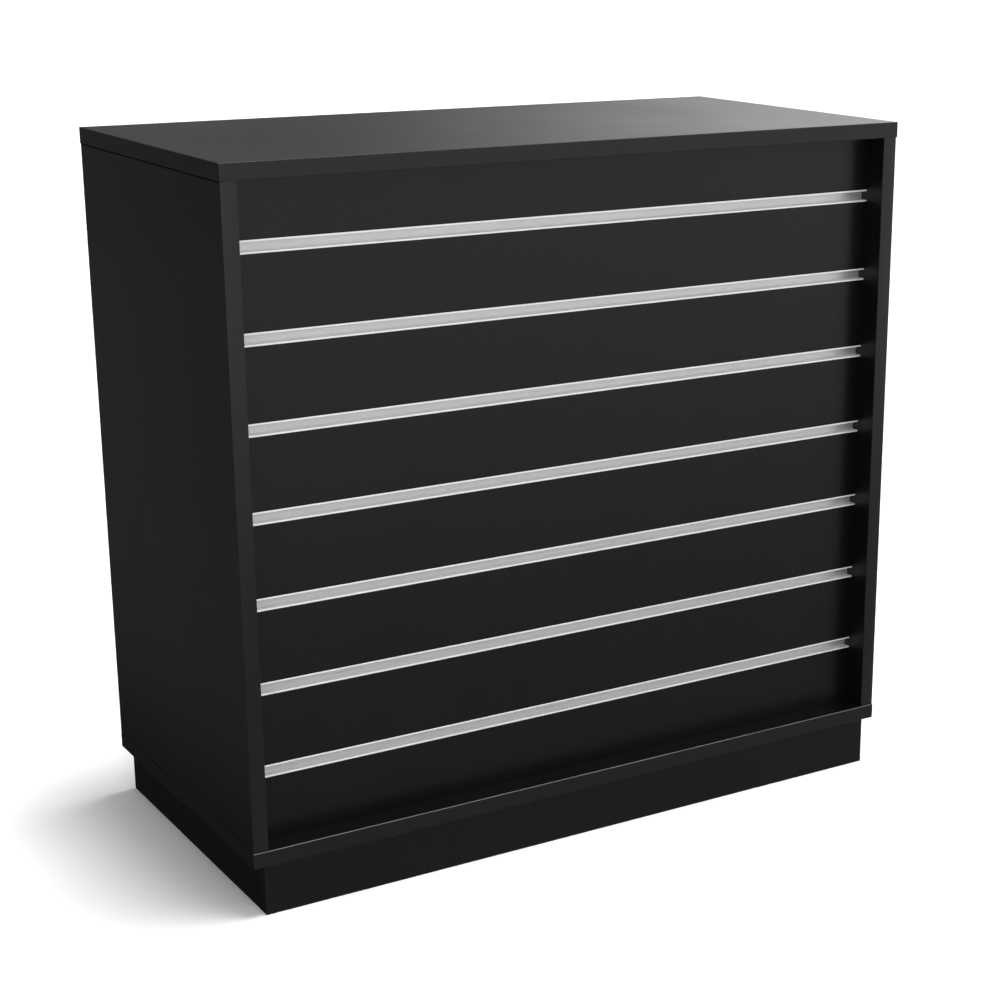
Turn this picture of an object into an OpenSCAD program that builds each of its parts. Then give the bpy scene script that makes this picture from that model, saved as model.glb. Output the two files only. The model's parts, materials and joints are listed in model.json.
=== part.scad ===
// Slatwall-front shop counter, seen from the staff side at +Y and the customer side at -Y.
// Millimetres, +Z up, origin on the floor under the middle of the counter.

/* [Overall] */
// Width of the counter over the top panel
counter_w = 900; // [760:10:1400]
// Depth of the counter over the top panel
counter_d = 435; // [420:5:700]
// Height of the counter from floor to top surface
counter_h = 858; // [740:1:1100]

/* [Boards] */
// Thickness of the melamine-faced boards
board_t = 19; // [16:1:22]
// Thickness of the plastic edging on the boards
edge_t = 1; // [0.6:0.1:2]
// Radius that the edging's long corners are rounded to
arris_r = 0.8; // [0.3:0.1:1.5]
// Distance that the top panel stands out past each side panel
top_overhang = 0.5; // [0:0.5:10]
// Distance that the top and bottom panels stand out in front of the side panels
front_reveal = 1; // [0:0.5:5]

/* [Slatwall] */
// Distance from the counter's front to the slatwall's face
slat_recess = 32; // [15:1:60]
// Thickness of the slatwall board
slat_t = 18; // [16:1:22]
// Distance between the middles of neighbouring slots
slot_pitch = 100; // [60:1:150]
// Height of the lowest slat, up to the face of the lowest insert
lowest_slat_h = 76; // [30:0.5:120]
// Least height of the highest slat, down to the face of the highest insert
least_top_slat_h = 60; // [30:0.5:120]
// Height of a groove's mouth in the slatwall's face
groove_mouth_h = 13.2; // [12:0.1:14.5]
// Thickness of the board left in front of a groove's hollow
groove_lip_t = 3; // [2:0.1:4]
// Height of a groove's hollow behind its lips
groove_h = 22; // [18:0.5:26]
// Depth of a groove from the slatwall's face
groove_d = 10.6; // [9.8:0.1:11.5]

/* [Slot inserts] */
// Height of an aluminium insert's visible face
insert_face_h = 15; // [14.5:0.1:20]
// Thickness that an insert's lips stand in front of the slatwall
insert_lip_t = 0.8; // [0.5:0.1:1.5]
// Wall thickness of an insert inside its groove
insert_wall = 0.9; // [0.7:0.1:1.2]

/* [Plinth] */
// Height of the plinth boards
plinth_h = 62; // [56:1:120]
// Distance of the plinth behind the bottom panel's front
plinth_front_setback = 4; // [0:1:60]
// Distance of the plinth inside each side panel
plinth_side_setback = 14; // [0:1:60]
// Width of the corner blocks inside the plinth
block_w = 46; // [40:1:70]

/* [Staff side] */
// Width of the upright cleats that the slatwall is screwed to
cleat_w = 30; // [20:1:50]
// Distance of the shelves inside the counter's rear
shelf_setback = 20; // [5:1:60]
// Number of shelf pin holes in each row
pin_hole_count = 9; // [5:1:11]
// Height of the lowest shelf pin hole above the bottom panel
first_pin_hole = 150; // [80:1:180]
// Hole, counted from the lowest, that the shelf under the drawer stands on
left_shelf_hole = 4; // [1:1:5]
// Hole, counted from the lowest, that the other shelf stands on
right_shelf_hole = 7; // [1:1:9]

/* [Drawer] */
// Height of the drawer's front board
drawer_front_h = 140; // [126:1:200]
// Gap around the drawer's front board
drawer_gap = 3; // [2:0.5:5]
// Height of the drawer box's boards
drawer_box_h = 90; // [75:1:104]
// Thickness of the drawer box's boards
drawer_board_t = 12; // [12:1:16]
// Length of the drawer runners, which is also the drawer box's depth
runner_len = 300; // [200:10:310]
// Thickness of the drawer's base board
drawer_base_t = 4; // [3:1:6]
// Distance between the drawer front's top edge and the middle of its lock
lock_inset = 22; // [20:0.5:24]
// Width of the recessed pull over its flange
pull_w = 128; // [80:1:200]
// Height of the recessed pull over its flange
pull_h = 44; // [36:1:60]

/* [Levellers] */
// Radius of a leveller's pad
pad_r = 14; // [10:0.5:18]
// Thickness of a leveller's pad
pad_t = 6; // [5:0.5:8]
// Radius of a leveller's screw
stud_r = 4; // [3:0.5:5]
// Distance that a leveller can be screwed down
leveller_travel = 12; // [5:1:12]

/* [Hidden] */
$fn = 48;
// Gap beside a board that slips between others
fit_gap = 0.3;
// Gap round a screw, pin or fitting in its hole
hole_gap = 0.1;

black = [0.1, 0.1, 0.1];
black_plastic = [0.07, 0.07, 0.07];
raw_wood = [0.72, 0.58, 0.42];
aluminium = [0.78, 0.78, 0.79];
zinc = [0.62, 0.64, 0.66];

// Carcass
carcass_w = counter_w - 2 * top_overhang;
front_y = -counter_d / 2;
rear_y = counter_d / 2;
upright_bottom = plinth_h + board_t;
upright_top = counter_h - board_t;
upright_h = upright_top - upright_bottom;
upright_front = front_y + front_reveal;
inner_w = carcass_w - 2 * board_t;
side_x = carcass_w / 2 - board_t / 2;
bay_w = (inner_w - board_t) / 2;
bay_x = board_t / 2 + bay_w / 2;

// Slatwall
slat_face_y = front_y + slat_recess;
slat_back_y = slat_face_y + slat_t;
slat_w = inner_w - 2 * fit_gap;
slat_bottom = upright_bottom + fit_gap;
slat_h = upright_h - 2 * fit_gap;
lowest_slot_z = upright_bottom + lowest_slat_h + insert_face_h / 2;
highest_slot_z = upright_top - least_top_slat_h - insert_face_h / 2;
slot_count = 1 + floor((highest_slot_z - lowest_slot_z) / slot_pitch);
cleat_rear = slat_back_y + board_t;
insert_gap = 0.2;

// Screws: shank radius, head radius, head depth, and the depth that they bite into the second board
screw_r = 2;
screw_head_r = 4;
screw_head_t = 2.4;
screw_bite = 10;
cleat_screw_margin = 60;

// Cam joints between uprights and panels
joint_front_margin = 38;
joint_rear_margin = 58;
joint_ys = [cleat_rear + joint_front_margin, rear_y - joint_rear_margin];
cam_r = 7.4;
cam_len = 12.5;
cam_inset = 24;
cam_cap_r = 8.5;
cam_cap_t = 0.8;
bolt_r = 3;
bolt_neck_r = 1.8;
bolt_head_r = 3.2;
bolt_thread_r = 2.5;
bolt_thread_len = 11;
bolt_bore_r = 4;
dowel_r = 4;
dowel_len = 30;
dowel_offset = 32;
dowel_panel_depth = 11;

// Plinth
plinth_w = carcass_w - 2 * plinth_side_setback;
plinth_front_y = front_y + plinth_front_setback;
plinth_inner_front = plinth_front_y + board_t;
plinth_inner_rear = rear_y - board_t;
plinth_side_x = plinth_w / 2 - board_t / 2;
block_x = plinth_w / 2 - board_t - block_w / 2;
block_bottom = 13;
block_screw_offset = 14;
block_screw_lifts = [14, 30];
block_screw_zs = [for (lift = block_screw_lifts) block_bottom + lift];
rise_screw_offset = 17;
block_screw_len = block_w + screw_bite;
rise_screw_len = plinth_h - block_bottom + screw_bite;

// Levellers: they stand where a key reaches them through the bottom panel, behind the cleats
stud_edge = 20;
key_clearance = 14;
stud_front_y = max(cleat_rear + key_clearance, plinth_inner_front + stud_edge);
stud_rear_y = plinth_inner_rear - block_w / 2;
front_block_d = stud_front_y + stud_edge - plinth_inner_front;
bush_wall = 2.5;
bush_len = 20;
bush_r = stud_r + hole_gap + bush_wall;
stud_foot_z = 2;
stud_tip_r = 2.8;
stud_collar_r = stud_r + 1.5;
stud_collar_t = 3.5;
stud_spare = 5;
stud_top = block_bottom + bush_len + leveller_travel + stud_spare;
stud_hex_r = 2.2;
stud_hex_d = 5;
key_hole_r = 5;
leveller_cap_r = 8;
leveller_cap_t = 1.2;
leveller_cap_peg = 8;
leveller_places = [[-1, stud_front_y, 1], [1, stud_front_y, 1], [-1, stud_rear_y, -1], [1, stud_rear_y, -1]];

// Shelves and their pins
pin_pitch = 32;
pin_r = 2.5;
pin_depth = 7;
pin_tab_w = 12;
pin_tab_len = 9;
pin_tab_t = 1.5;
shelf_side_gap = 1;
pin_shoulder = shelf_side_gap - fit_gap;
shelf_front_gap = 2;
shelf_front = cleat_rear + shelf_front_gap;
shelf_rear = rear_y - shelf_setback;
shelf_w = bay_w - 2 * shelf_side_gap;
pin_inset = 40;
pin_ys = [shelf_front + pin_inset, shelf_rear - pin_inset];
// Pin holes stop below the drawer on its side of the counter
drawer_bay_holes = max(left_shelf_hole, pin_hole_count - 4);
open_bay_holes = max(right_shelf_hole, pin_hole_count);

// Drawer
face_inset = 2;
face_rear = rear_y - face_inset;
face_inner = face_rear - board_t;
face_w = bay_w - 2 * drawer_gap;
face_top = upright_top - drawer_gap;
face_bottom = face_top - drawer_front_h;
runner_w = 12.7;
runner_h = 45;
runner_sheet = 1.2;
runner_play = 0.3;
runner_flange = 9.5;
box_w = bay_w - 2 * runner_w;
lock_r = 8;
lock_z = face_top - lock_inset;
lock_clearance = 6;
box_top = lock_z - lock_r - lock_clearance;
box_bottom = box_top - drawer_box_h;
box_y0 = face_inner - runner_len;
box_inner_w = box_w - 2 * drawer_board_t;
runner_lift = 38;
runner_z = box_bottom + runner_lift;
base_groove = 6;
base_lift = 10;
base_z = box_bottom + base_lift;
box_screw_margin = 20;
box_screw_zs = [box_bottom + box_screw_margin, box_top - box_screw_margin];
front_screw_inset = 60;
front_screw_margin = 25;
front_screw_x = box_w / 2 - front_screw_inset;
front_screw_zs = [box_bottom + front_screw_margin, box_top - front_screw_margin];

// Recessed pull
pull_flange_t = 1.5;
pull_wall = 1.2;
pull_depth = 13;
pull_rim = 6;
pull_lip = 6;
pull_corner_r = 5;
pull_z = (face_top + face_bottom) / 2;

// Lock
lock_flange_r = 11;
lock_flange_t = 1.5;
lock_tail = 3;
barrel_r = 6;
barrel_sink = 0.4;
keyway = [8, 4, 1.6];
shank_w = 6;
cam_t = 2;
cam_w = 12;
cam_throw = 28;
cam_back = 7;
cam_y = face_inner - lock_tail - fit_gap - cam_t;
mortise_w = 36;
mortise_gap = 1.5;
mortise_d = 6;

function arc(x, y, r, from, to, steps = 4) =
  [for (i = [0:steps]) let (a = from + (to - from) * i / steps) [x + r * cos(a), y + r * sin(a)]];
function slot_z(n) = lowest_slot_z + (slot_count - n) * slot_pitch;
slat_screw_zs = [for (n = [1, round(slot_count / 2), slot_count - 1]) (slot_z(n) + slot_z(n + 1)) / 2];
function pin_hole_z(n) = upright_bottom + first_pin_hole + (n - 1) * pin_pitch;
function shelf_bottom(hole) = pin_hole_z(hole) + pin_tab_t / 2;

// Boards and edging

// A block from its lowest to its highest corner
module block(low, high) translate(low) cube(high - low);

// A strip of edging in section: x points out of the board, y runs across its thickness
module strip_outline(width) {
  r = min(arris_r, edge_t * 0.9);
  polygon(concat([[0, -width / 2]],
                 arc(edge_t - r, r - width / 2, r, -90, 0),
                 arc(edge_t - r, width / 2 - r, r, 0, 90),
                 [[0, width / 2]]));
}

// Edging along a level board's edge: turn is the way that it faces, 0 for +X and 90 for +Y
module level_strip(length, turn)
  translate([0, 0, board_t / 2]) rotate([90, 0, turn])
    linear_extrude(length, center = true) strip_outline(board_t);

// Edging up an upright board's edge
module upright_strip(length, width, turn)
  rotate([0, 0, turn]) linear_extrude(length) strip_outline(width);

// Edging round a level panel of width w from front y0 to rear y1
module panel_edging(w, y0, y1) {
  middle = (y0 + y1) / 2;
  end_len = y1 - y0 - 2 * edge_t;
  translate([0, y0 + edge_t, 0]) level_strip(w, -90);
  translate([0, y1 - edge_t, 0]) level_strip(w, 90);
  translate([w / 2 - edge_t, middle, 0]) level_strip(end_len, 0);
  translate([edge_t - w / 2, middle, 0]) level_strip(end_len, 180);
}

// The core of a level panel, inside its edging
module panel_core(w, y0, y1)
  block([edge_t - w / 2, y0 + edge_t, 0], [w / 2 - edge_t, y1 - edge_t, board_t]);

// Cam joints

// Children at each end of an upright board's cam joints, with +Z pointing out of the board's end
module at_joints(x)
  for (y = joint_ys) {
    translate([x, y, upright_top]) children();
    translate([x, y, upright_bottom]) mirror([0, 0, 1]) children();
  }

// Children at every upright board, with +X pointing at the face that the cams are in
module at_uprights() {
  at_joints(-side_x) children();
  at_joints(0) children();
  at_joints(side_x) mirror([1, 0, 0]) children();
}

module joint_bores_in_upright() {
  translate([0, 0, -cam_inset - bolt_head_r - 1]) cylinder(r = bolt_bore_r, h = cam_inset + bolt_head_r + 2);
  translate([board_t / 2 - cam_len - fit_gap, 0, -cam_inset]) rotate([0, 90, 0])
    cylinder(r = cam_r + hole_gap, h = cam_len + fit_gap + 1);
  translate([0, dowel_offset, dowel_panel_depth - dowel_len - fit_gap])
    cylinder(r = dowel_r + hole_gap, h = dowel_len);
}

module joint_bores_in_panel() {
  translate([0, 0, -1]) cylinder(r = bolt_thread_r + hole_gap, h = bolt_thread_len + fit_gap + 1);
  translate([0, dowel_offset, -1]) cylinder(r = dowel_r + hole_gap, h = dowel_panel_depth + fit_gap + 1);
}

module cam_housing() {
  slot_w = 1.6;
  slot_d = 2.5;
  difference() {
    translate([board_t / 2 - cam_len, 0, -cam_inset]) rotate([0, 90, 0]) cylinder(r = cam_r, h = cam_len);
    translate([0, 0, -cam_inset - bolt_head_r - 1]) cylinder(r = bolt_bore_r, h = cam_inset);
    for (size = [[cam_r, slot_w], [slot_w, cam_r]])
      translate([board_t / 2 - slot_d, -size[0] / 2, -cam_inset - size[1] / 2])
        cube([slot_d + 1, size[0], size[1]]);
  }
}

module cam_bolt() {
  neck_len = 6;
  translate([0, 0, -cam_inset + neck_len]) cylinder(r = bolt_r, h = cam_inset - neck_len);
  translate([0, 0, -cam_inset]) cylinder(r = bolt_neck_r, h = neck_len);
  translate([0, 0, -cam_inset - bolt_head_r]) cylinder(r = bolt_head_r, h = bolt_head_r);
  cylinder(r = bolt_thread_r, h = bolt_thread_len);
}

module cam_housings() color(zinc) at_uprights() cam_housing();
module cam_bolts() color(zinc) at_uprights() cam_bolt();
module cam_caps() color(black_plastic) at_uprights()
  translate([board_t / 2, 0, -cam_inset]) rotate([0, 90, 0]) cylinder(r = cam_cap_r, h = cam_cap_t);
module panel_dowels() color(raw_wood) at_uprights()
  translate([0, dowel_offset, dowel_panel_depth - dowel_len]) cylinder(r = dowel_r, h = dowel_len);

// Screws

// A countersunk screw pointing down -Z from its head's flat top at the origin
module screw(length) {
  translate([0, 0, -screw_head_t]) cylinder(r1 = screw_r, r2 = screw_head_r, h = screw_head_t);
  translate([0, 0, -length]) cylinder(r = screw_r, h = length - screw_head_t);
}

// The hole that a screw goes in
module screw_hole(length) {
  reach = length + fit_gap;
  translate([0, 0, -screw_head_t])
    cylinder(r1 = screw_r + hole_gap, r2 = screw_head_r + hole_gap, h = screw_head_t);
  translate([0, 0, -reach]) cylinder(r = screw_r + hole_gap, h = reach);
  cylinder(r = screw_head_r + hole_gap, h = 1);
}

// Panels

module top_panel() color(black) difference() {
  translate([0, 0, upright_top]) panel_core(counter_w, front_y, rear_y);
  at_uprights() joint_bores_in_panel();
  block([-bay_x - mortise_w / 2, cam_y - mortise_gap, upright_top - 1],
        [-bay_x + mortise_w / 2, cam_y + cam_t + mortise_gap, upright_top + mortise_d]);
}

module top_edging() color(black_plastic) translate([0, 0, upright_top])
  panel_edging(counter_w, front_y, rear_y);

module bottom_panel() color(black) difference() {
  translate([0, 0, plinth_h]) panel_core(carcass_w, front_y, rear_y);
  at_uprights() joint_bores_in_panel();
  at_levellers() translate([0, 0, plinth_h - 1]) cylinder(r = key_hole_r, h = board_t + 2);
  at_rise_screws() screw_hole(rise_screw_len);
}

module bottom_edging() color(black_plastic) translate([0, 0, plinth_h])
  panel_edging(carcass_w, front_y, rear_y);

// The core of an upright board from its front edging to its rear edging
module upright_core(x, y0)
  block([x - board_t / 2, y0, upright_bottom], [x + board_t / 2, rear_y - edge_t, upright_top]);

// Shelf pin holes: facing is 1 where they open towards +X
module pin_holes(x, facing, count)
  for (y = pin_ys, n = [1:count])
    translate([x, y, pin_hole_z(n)]) rotate([0, facing * 90, 0])
      translate([0, 0, -pin_depth - fit_gap]) cylinder(r = pin_r + hole_gap, h = pin_depth + fit_gap + 1);

module left_side() color(black) difference() {
  upright_core(-side_x, upright_front + edge_t);
  at_joints(-side_x) joint_bores_in_upright();
  pin_holes(-inner_w / 2, 1, drawer_bay_holes);
  cleat_side_holes();
}

module right_side() color(black) difference() {
  upright_core(side_x, upright_front + edge_t);
  at_joints(side_x) mirror([1, 0, 0]) joint_bores_in_upright();
  pin_holes(inner_w / 2, -1, open_bay_holes);
  cleat_side_holes();
}

module centre_partition() color(black) difference() {
  upright_core(0, slat_back_y);
  at_joints(0) joint_bores_in_upright();
  pin_holes(-board_t / 2, -1, drawer_bay_holes);
  pin_holes(board_t / 2, 1, open_bay_holes);
}

module upright_edging() color(black_plastic) {
  for (x = [-side_x, side_x])
    translate([x, upright_front + edge_t, upright_bottom]) upright_strip(upright_h, board_t, -90);
  for (x = [-side_x, 0, side_x])
    translate([x, rear_y - edge_t, upright_bottom]) upright_strip(upright_h, board_t, 90);
}

// Slatwall

module slatwall_panel() color(black) difference() {
  block([-slat_w / 2, slat_face_y, slat_bottom], [slat_w / 2, slat_back_y, slat_bottom + slat_h]);
  for (n = [1:slot_count]) translate([0, slat_face_y, slot_z(n)]) {
    block([-slat_w, -1, -groove_mouth_h / 2], [slat_w, groove_lip_t + 1, groove_mouth_h / 2]);
    block([-slat_w, groove_lip_t, -groove_h / 2], [slat_w, groove_d, groove_h / 2]);
  }
  at_cleat_slat_screws() screw_hole(board_t + screw_bite);
}

// An insert's section: a hollow behind the upper lip, and a ledge through to the back with a leg under it
neck_out = groove_mouth_h / 2 - insert_gap;
neck_in = neck_out - insert_wall;
hollow_out = groove_h / 2 - insert_gap;
hollow_in = hollow_out - insert_wall;
flange_y = groove_lip_t + insert_gap;
back_y = groove_d - insert_gap;
hollow_y = flange_y + insert_wall;
insert_outline = [
  [-insert_lip_t, neck_in], [-insert_lip_t, insert_face_h / 2], [0, insert_face_h / 2], [0, neck_out],
  [flange_y, neck_out], [flange_y, hollow_out], [back_y, hollow_out], [back_y, -neck_out],
  [hollow_y, -neck_out], [hollow_y, -hollow_out], [flange_y, -hollow_out], [flange_y, -neck_out],
  [0, -neck_out], [0, -insert_face_h / 2], [-insert_lip_t, -insert_face_h / 2],
  [-insert_lip_t, -neck_in], [back_y - insert_wall, -neck_in], [back_y - insert_wall, hollow_in],
  [hollow_y, hollow_in], [hollow_y, neck_in]
];

module slot_insert(n) color(aluminium)
  translate([0, slat_face_y, slot_z(n)]) rotate([90, 0, 90])
    linear_extrude(slat_w, center = true) polygon(insert_outline);

// Children behind the cleats, with -Z pointing forward into the slatwall
module at_cleat_slat_screws()
  for (x = [-1, 1], z = slat_screw_zs)
    translate([x * (inner_w / 2 - cleat_w / 2), cleat_rear, z]) rotate([-90, 0, 0]) children();

// Children on the cleats' inner faces, with -Z pointing into the side panel
module at_cleat_side_screws()
  for (x = [-1, 1], z = [upright_bottom + cleat_screw_margin, upright_top - cleat_screw_margin])
    translate([x * (inner_w / 2 - cleat_w), slat_back_y + board_t / 2, z]) rotate([0, -90 * x, 0])
      children();

module cleat_side_holes() at_cleat_side_screws() screw_hole(cleat_w + screw_bite);

module cleat(facing) color(black) difference() {
  translate([facing * (inner_w / 2 - cleat_w / 2), 0, 0])
    block([-cleat_w / 2, slat_back_y, upright_bottom], [cleat_w / 2, cleat_rear, upright_top]);
  at_cleat_slat_screws() screw_hole(board_t + screw_bite);
  cleat_side_holes();
}

module cleat_screws() color(zinc) {
  at_cleat_slat_screws() screw(board_t + screw_bite);
  at_cleat_side_screws() screw(cleat_w + screw_bite);
}

// Plinth

// Children at each leveller's axis on the floor, with +X and +Y pointing out of the plinth's corner
module at_levellers()
  for (place = leveller_places)
    translate([place[0] * block_x, place[1], 0])
      mirror([place[0] > 0 ? 0 : 1, 0, 0]) mirror([0, place[2] < 0 ? 0 : 1, 0]) children();

// Children under each corner block, with -Z pointing up into the bottom panel
module at_rise_screws()
  at_levellers() translate([-rise_screw_offset, 0, block_bottom]) rotate([180, 0, 0]) children();

// Children on a corner block's inner face, with -Z pointing into the plinth's side board
module at_side_block_screws()
  at_levellers() translate([-block_w / 2, block_screw_offset, block_screw_zs[0]])
    rotate([0, -90, 0]) children();

// Children on a corner block's inner end, with -Z pointing into the plinth's front or back board
module at_end_block_screws()
  for (x = [-1, 1]) {
    translate([x * (block_x + block_screw_offset), plinth_inner_front + front_block_d, block_screw_zs[1]])
      rotate([-90, 0, 0]) children();
    translate([x * (block_x + block_screw_offset), plinth_inner_rear - block_w, block_screw_zs[1]])
      rotate([90, 0, 0]) children();
  }

module plinth_front() color(black) difference() {
  block([edge_t - plinth_w / 2, plinth_front_y, 0], [plinth_w / 2 - edge_t, plinth_inner_front, plinth_h]);
  at_end_block_screws() screw_hole(front_block_d + screw_bite);
}

module plinth_back() color(black) difference() {
  block([edge_t - plinth_w / 2, plinth_inner_rear, 0], [plinth_w / 2 - edge_t, rear_y, plinth_h]);
  at_end_block_screws() screw_hole(block_screw_len);
}

module plinth_side(facing) color(black) difference() {
  translate([facing * plinth_side_x, 0, 0])
    block([-board_t / 2, plinth_inner_front, 0], [board_t / 2, plinth_inner_rear, plinth_h]);
  at_side_block_screws() screw_hole(block_screw_len);
}

module plinth_brace() color(black)
  block([-board_t / 2, plinth_inner_front, 0], [board_t / 2, plinth_inner_rear, plinth_h]);

module plinth_edging() color(black_plastic)
  for (x = [-1, 1], y = [plinth_inner_front - board_t / 2, plinth_inner_rear + board_t / 2])
    translate([x * (plinth_w / 2 - edge_t), y, 0]) upright_strip(plinth_h, board_t, 90 - 90 * x);

module corner_blocks() color(raw_wood) difference() {
  for (x = [-block_x, block_x]) translate([x, 0, 0]) {
    block([-block_w / 2, plinth_inner_front, block_bottom],
          [block_w / 2, plinth_inner_front + front_block_d, plinth_h]);
    block([-block_w / 2, plinth_inner_rear - block_w, block_bottom],
          [block_w / 2, plinth_inner_rear, plinth_h]);
  }
  at_levellers() {
    cylinder(r = stud_r + hole_gap, h = plinth_h + 1);
    cylinder(r = bush_r + hole_gap, h = block_bottom + bush_len);
  }
  at_rise_screws() screw_hole(rise_screw_len);
  at_side_block_screws() screw_hole(block_screw_len);
  at_end_block_screws() screw_hole(front_block_d + screw_bite);
}

module plinth_screws() color(zinc) {
  at_rise_screws() screw(rise_screw_len);
  at_side_block_screws() screw(block_screw_len);
  for (x = [-1, 1]) translate([x * (block_x + block_screw_offset), 0, block_screw_zs[1]]) {
    translate([0, plinth_inner_front + front_block_d, 0]) rotate([-90, 0, 0])
      screw(front_block_d + screw_bite);
    translate([0, plinth_inner_rear - block_w, 0]) rotate([90, 0, 0]) screw(block_screw_len);
  }
}

// Levellers

module leveller_bushes() color(zinc)
  at_levellers() translate([0, 0, block_bottom]) difference() {
    cylinder(r = bush_r, h = bush_len);
    translate([0, 0, -1]) cylinder(r = stud_r + hole_gap, h = bush_len + 2);
  }

module leveller_caps() color(black_plastic) at_levellers() translate([0, 0, upright_bottom]) {
  cylinder(r = leveller_cap_r, h = leveller_cap_t);
  translate([0, 0, -leveller_cap_peg]) cylinder(r = key_hole_r - hole_gap, h = leveller_cap_peg);
}

module leveller_stud(place) color(zinc) translate([place[0] * block_x, place[1], 0]) difference() {
  union() {
    translate([0, 0, stud_foot_z]) cylinder(r = stud_tip_r, h = pad_t);
    translate([0, 0, pad_t]) cylinder(r = stud_collar_r, h = stud_collar_t);
    translate([0, 0, pad_t]) cylinder(r = stud_r, h = stud_top - pad_t);
  }
  translate([0, 0, stud_top - stud_hex_d]) cylinder(r = stud_hex_r, h = stud_hex_d + 1, $fn = 6);
}

module leveller_pad(place) color(black_plastic) translate([place[0] * block_x, place[1], 0])
  difference() {
    union() {
      cylinder(r = pad_r, h = pad_t / 2);
      translate([0, 0, pad_t / 2]) cylinder(r1 = pad_r, r2 = pad_r / 2 + stud_collar_r / 2, h = pad_t / 2);
    }
    translate([0, 0, stud_foot_z]) cylinder(r = stud_tip_r + hole_gap, h = pad_t);
  }

// Shelves

// Children at the middle of each bay's shelf, on its underside
module at_shelf_pins() {
  for (y = pin_ys) {
    for (x = [-inner_w / 2, -board_t / 2]) translate([x, y, pin_hole_z(left_shelf_hole)])
      mirror([x == -board_t / 2 ? 1 : 0, 0, 0]) children();
    for (x = [board_t / 2, inner_w / 2]) translate([x, y, pin_hole_z(right_shelf_hole)])
      mirror([x == inner_w / 2 ? 1 : 0, 0, 0]) children();
  }
}

module shelf_pins() color(zinc) at_shelf_pins() {
  translate([-pin_depth, 0, 0]) rotate([0, 90, 0]) cylinder(r = pin_r, h = pin_depth + pin_shoulder);
  block([0, -pin_tab_w / 2, -pin_tab_t / 2], [pin_tab_len, pin_tab_w / 2, pin_tab_t / 2]);
}

module shelf(x, hole) color(black)
  translate([x, 0, shelf_bottom(hole)])
    block([-shelf_w / 2, shelf_front, 0], [shelf_w / 2, shelf_rear - edge_t, board_t]);

module left_shelf() shelf(-bay_x, left_shelf_hole);
module right_shelf() shelf(bay_x, right_shelf_hole);

module shelf_edging() color(black_plastic)
  for (place = [[-bay_x, left_shelf_hole], [bay_x, right_shelf_hole]])
    translate([place[0], shelf_rear - edge_t, shelf_bottom(place[1])]) level_strip(shelf_w, 90);

// Drawer runners

// Children at each runner's cabinet wall, with +X pointing at the drawer
module at_runners()
  for (side = [0, 1])
    translate([-bay_x, 0, runner_z]) mirror([side, 0, 0]) translate([-bay_w / 2, 0, 0]) children();

// A channel from x0 to x1 along the drawer, open towards +X where facing is 1
module channel(x0, x1, half_h, facing) difference() {
  block([x0, box_y0, -half_h], [x1, face_inner, half_h]);
  block([facing > 0 ? x0 + runner_sheet : x0 - 1, box_y0 - 1, runner_sheet - half_h],
        [facing > 0 ? x1 + 1 : x1 - runner_sheet, face_inner + 1, half_h - runner_sheet]);
}

middle_half_h = runner_h / 2 - runner_sheet - runner_play;
middle_x0 = runner_sheet + runner_play;
drawer_half_h = middle_half_h - runner_sheet - runner_play;
drawer_x0 = middle_x0 + runner_sheet + runner_play;
middle_x1 = runner_w - runner_sheet - runner_play;

module runner_cabinet_members() color(zinc) at_runners() channel(0, runner_flange, runner_h / 2, 1);
module runner_middle_members() color(zinc) at_runners() channel(middle_x0, middle_x1, middle_half_h, 1);
module runner_drawer_members() color(zinc) at_runners() channel(drawer_x0, runner_w, drawer_half_h, -1);

// Drawer

// A plate standing in the XZ plane with round corners, from y 0 to its thickness
module plate(width, height, radius, thickness)
  rotate([90, 0, 0]) translate([0, 0, -thickness]) linear_extrude(thickness) {
    square([width - 2 * radius, height], center = true);
    square([width, height - 2 * radius], center = true);
    for (x = [-1, 1], y = [-1, 1])
      translate([x * (width / 2 - radius), y * (height / 2 - radius)]) circle(r = radius);
  }

cup_w = pull_w - 2 * pull_rim;
cup_h = pull_h - 2 * pull_rim;

// Children on the inside of the drawer's box front, with -Z pointing into the drawer's front board
module at_front_screws()
  for (x = [-1, 1], z = front_screw_zs)
    translate([x * front_screw_x - bay_x, face_inner - drawer_board_t, z]) rotate([90, 0, 0]) children();

// Children on the outside of the drawer box, with -Z pointing into its front and back boards
module at_box_screws()
  for (x = [-1, 1], y = [box_y0 + drawer_board_t / 2, face_inner - drawer_board_t / 2], z = box_screw_zs)
    translate([x * box_w / 2 - bay_x, y, z]) rotate([0, 90 * x, 0]) children();

module drawer_front() color(black) difference() {
  block([edge_t - face_w / 2 - bay_x, face_inner, face_bottom + edge_t],
        [face_w / 2 - edge_t - bay_x, face_rear, face_top - edge_t]);
  translate([-bay_x, face_rear - pull_depth - fit_gap, pull_z])
    plate(cup_w + 2 * fit_gap, cup_h + 2 * fit_gap, pull_corner_r, pull_depth + 2);
  translate([-bay_x, face_inner - 1, lock_z]) rotate([-90, 0, 0])
    cylinder(r = lock_r + hole_gap, h = board_t + 2);
  at_front_screws() screw_hole(drawer_board_t + screw_bite);
}

module drawer_front_edging() color(black_plastic) translate([-bay_x, face_inner + board_t / 2, 0]) {
  middle = (face_top + face_bottom) / 2;
  for (side = [0, 1]) {
    mirror([side, 0, 0]) translate([face_w / 2 - edge_t, 0, face_bottom])
      upright_strip(drawer_front_h, board_t, 0);
    translate([0, 0, middle]) mirror([0, 0, side]) translate([0, 0, drawer_front_h / 2 - edge_t])
      rotate([0, -90, 0]) linear_extrude(face_w - 2 * edge_t, center = true) strip_outline(board_t);
  }
}

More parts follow.
